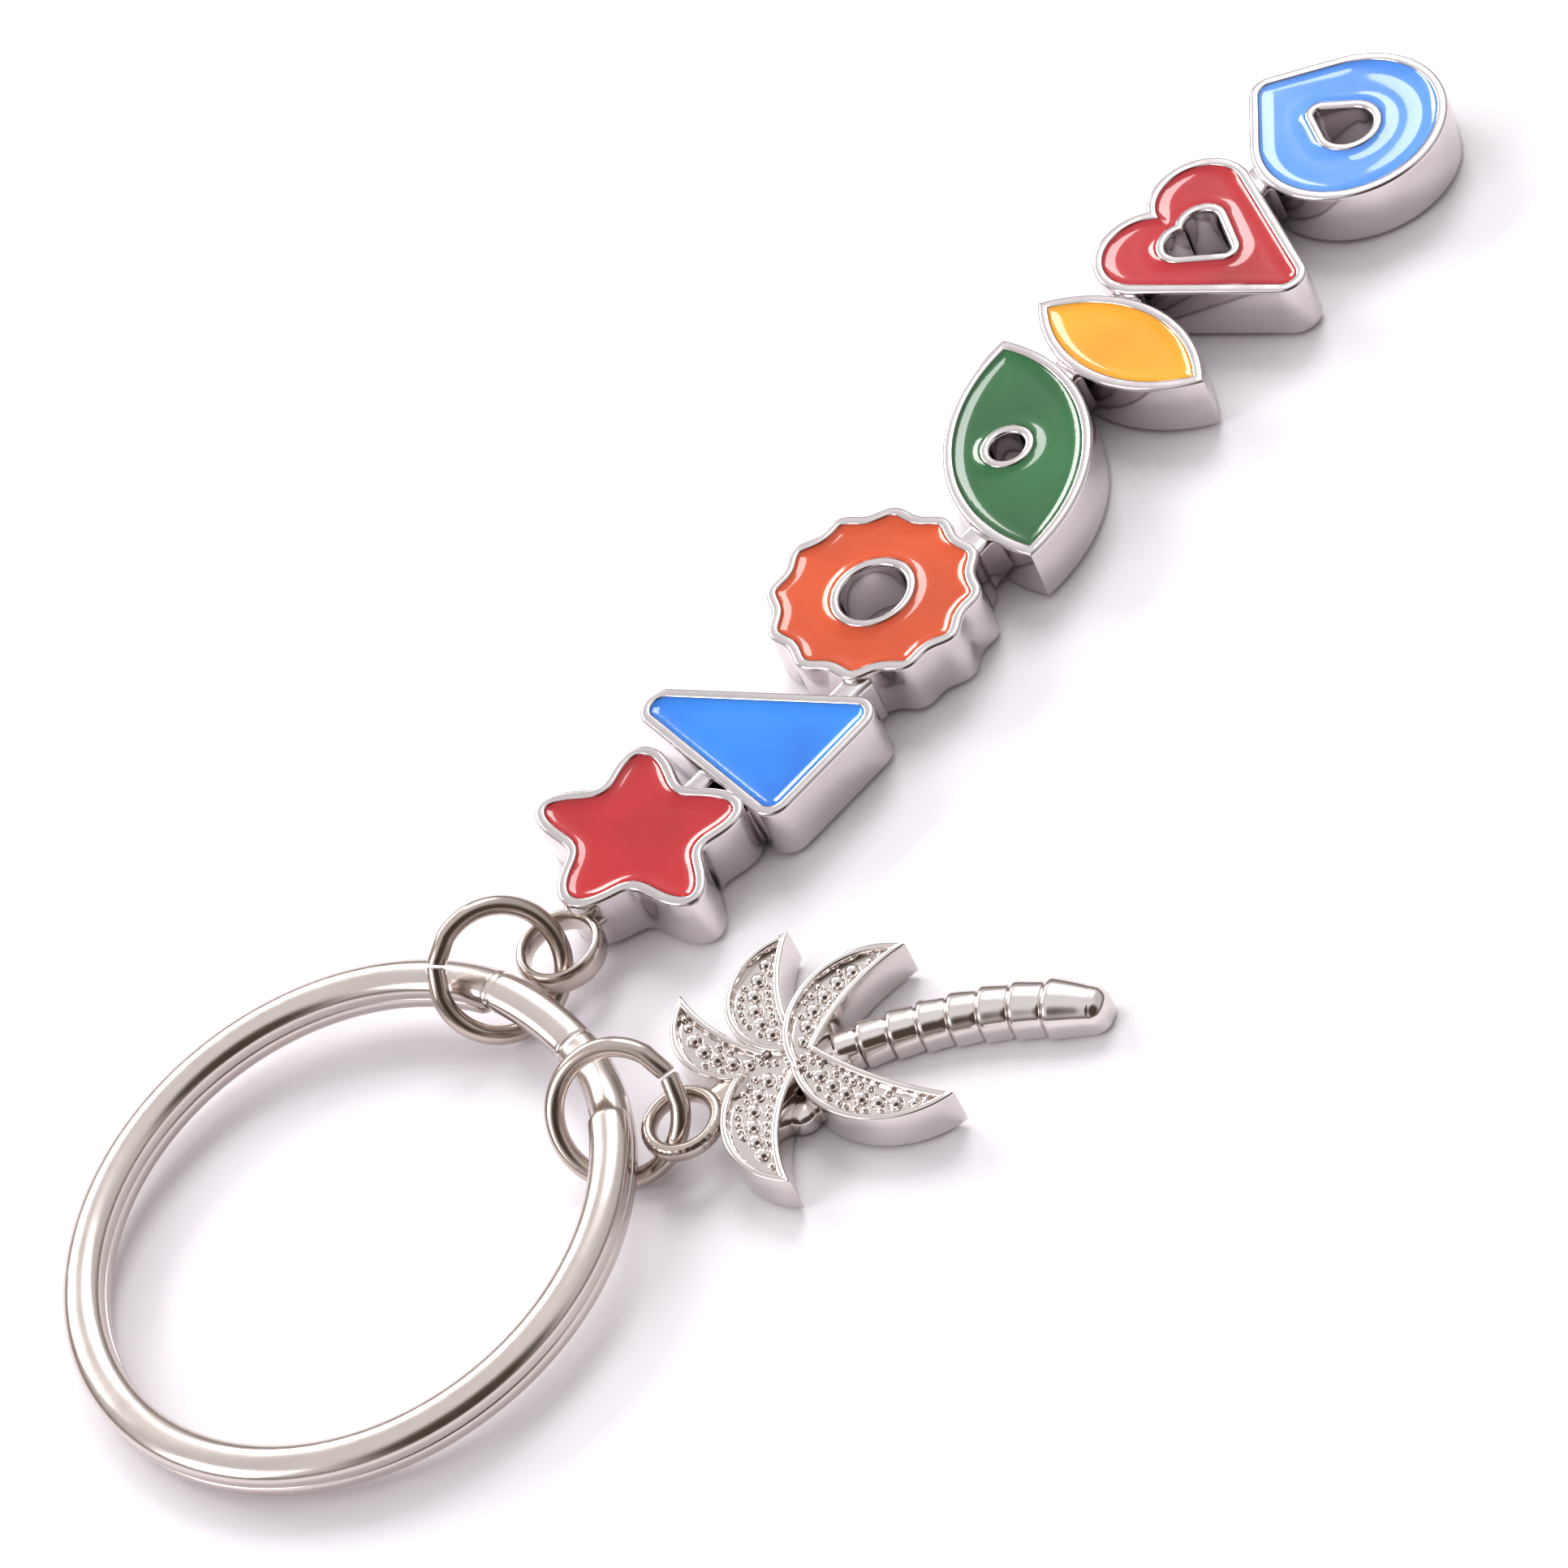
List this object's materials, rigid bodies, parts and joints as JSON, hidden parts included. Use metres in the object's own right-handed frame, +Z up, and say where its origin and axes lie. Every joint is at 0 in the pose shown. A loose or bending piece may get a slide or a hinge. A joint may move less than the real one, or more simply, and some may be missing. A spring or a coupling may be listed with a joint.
{
  "type": "keychain",
  "caption": "Souvenir keychain: split ring with two jump rings carrying a cast bar of enamelled beach shapes and a small cast palm charm.",
  "frame": {"origin": "centre of the split ring at its middle height", "axes": "+X from the ring out along the bar, +Y across the bar away from the palm charm, +Z up from the lying keychain"},
  "size_m": [0.1059, 0.0426, 0.0068],
  "materials": {
    "plated_wire": "bright nickel plate on steel wire, slightly satin",
    "plated_casting": "polished nickel plate on a zinc casting",
    "red_enamel": "glossy poured enamel",
    "blue_enamel": "glossy poured enamel",
    "orange_enamel": "glossy poured enamel",
    "green_enamel": "glossy poured enamel",
    "amber_enamel": "glossy poured enamel",
    "crimson_enamel": "glossy poured enamel",
    "sky_blue_enamel": "glossy poured enamel"
  },
  "bodies": {
    "split_ring": {"split_ring": "plated_wire"},
    "bar_link": {"bar_jump_ring": "plated_wire"},
    "bar": {"bar_eye": "plated_casting", "star_cast": "plated_casting", "sail_cast": "plated_casting", "sun_cast": "plated_casting", "leaf_cast": "plated_casting", "board_cast": "plated_casting", "heart_cast": "plated_casting", "drop_cast": "plated_casting", "star_enamel": "red_enamel", "sail_enamel": "blue_enamel", "sun_enamel": "orange_enamel", "leaf_enamel": "green_enamel", "board_enamel": "amber_enamel", "heart_enamel": "crimson_enamel", "drop_enamel": "sky_blue_enamel"},
    "charm_link": {"charm_jump_ring": "plated_wire"},
    "charm": {"frond_1": "plated_casting", "frond_2": "plated_casting", "frond_3": "plated_casting", "frond_4": "plated_casting", "frond_5": "plated_casting", "crown_web": "plated_casting", "palm_trunk": "plated_casting", "charm_eye": "plated_casting"}
  },
  "joints": [
    {"name": "bar_ring_travel", "type": "hinge", "parent": "split_ring", "child": "bar_link", "pos_m": [0, 0, 0], "axis": [-0.0445, 0, 0.999], "range_deg": [0, 90]},
    {"name": "bar_swing", "type": "hinge", "parent": "bar_link", "child": "bar", "pos_m": [0.0186, 0.00235, 0.00017], "axis": [0, 0, 1], "range_deg": [-10, 40]},
    {"name": "charm_ring_travel", "type": "hinge", "parent": "split_ring", "child": "charm_link", "pos_m": [0, 0, 0], "axis": [-0.0445, 0, 0.999], "range_deg": [-90, 0]},
    {"name": "charm_swing", "type": "hinge", "parent": "charm_link", "child": "charm", "pos_m": [0.0142, -0.012, 0.00012], "axis": [0, 0, 1], "range_deg": [-40, 10]}
  ]
}
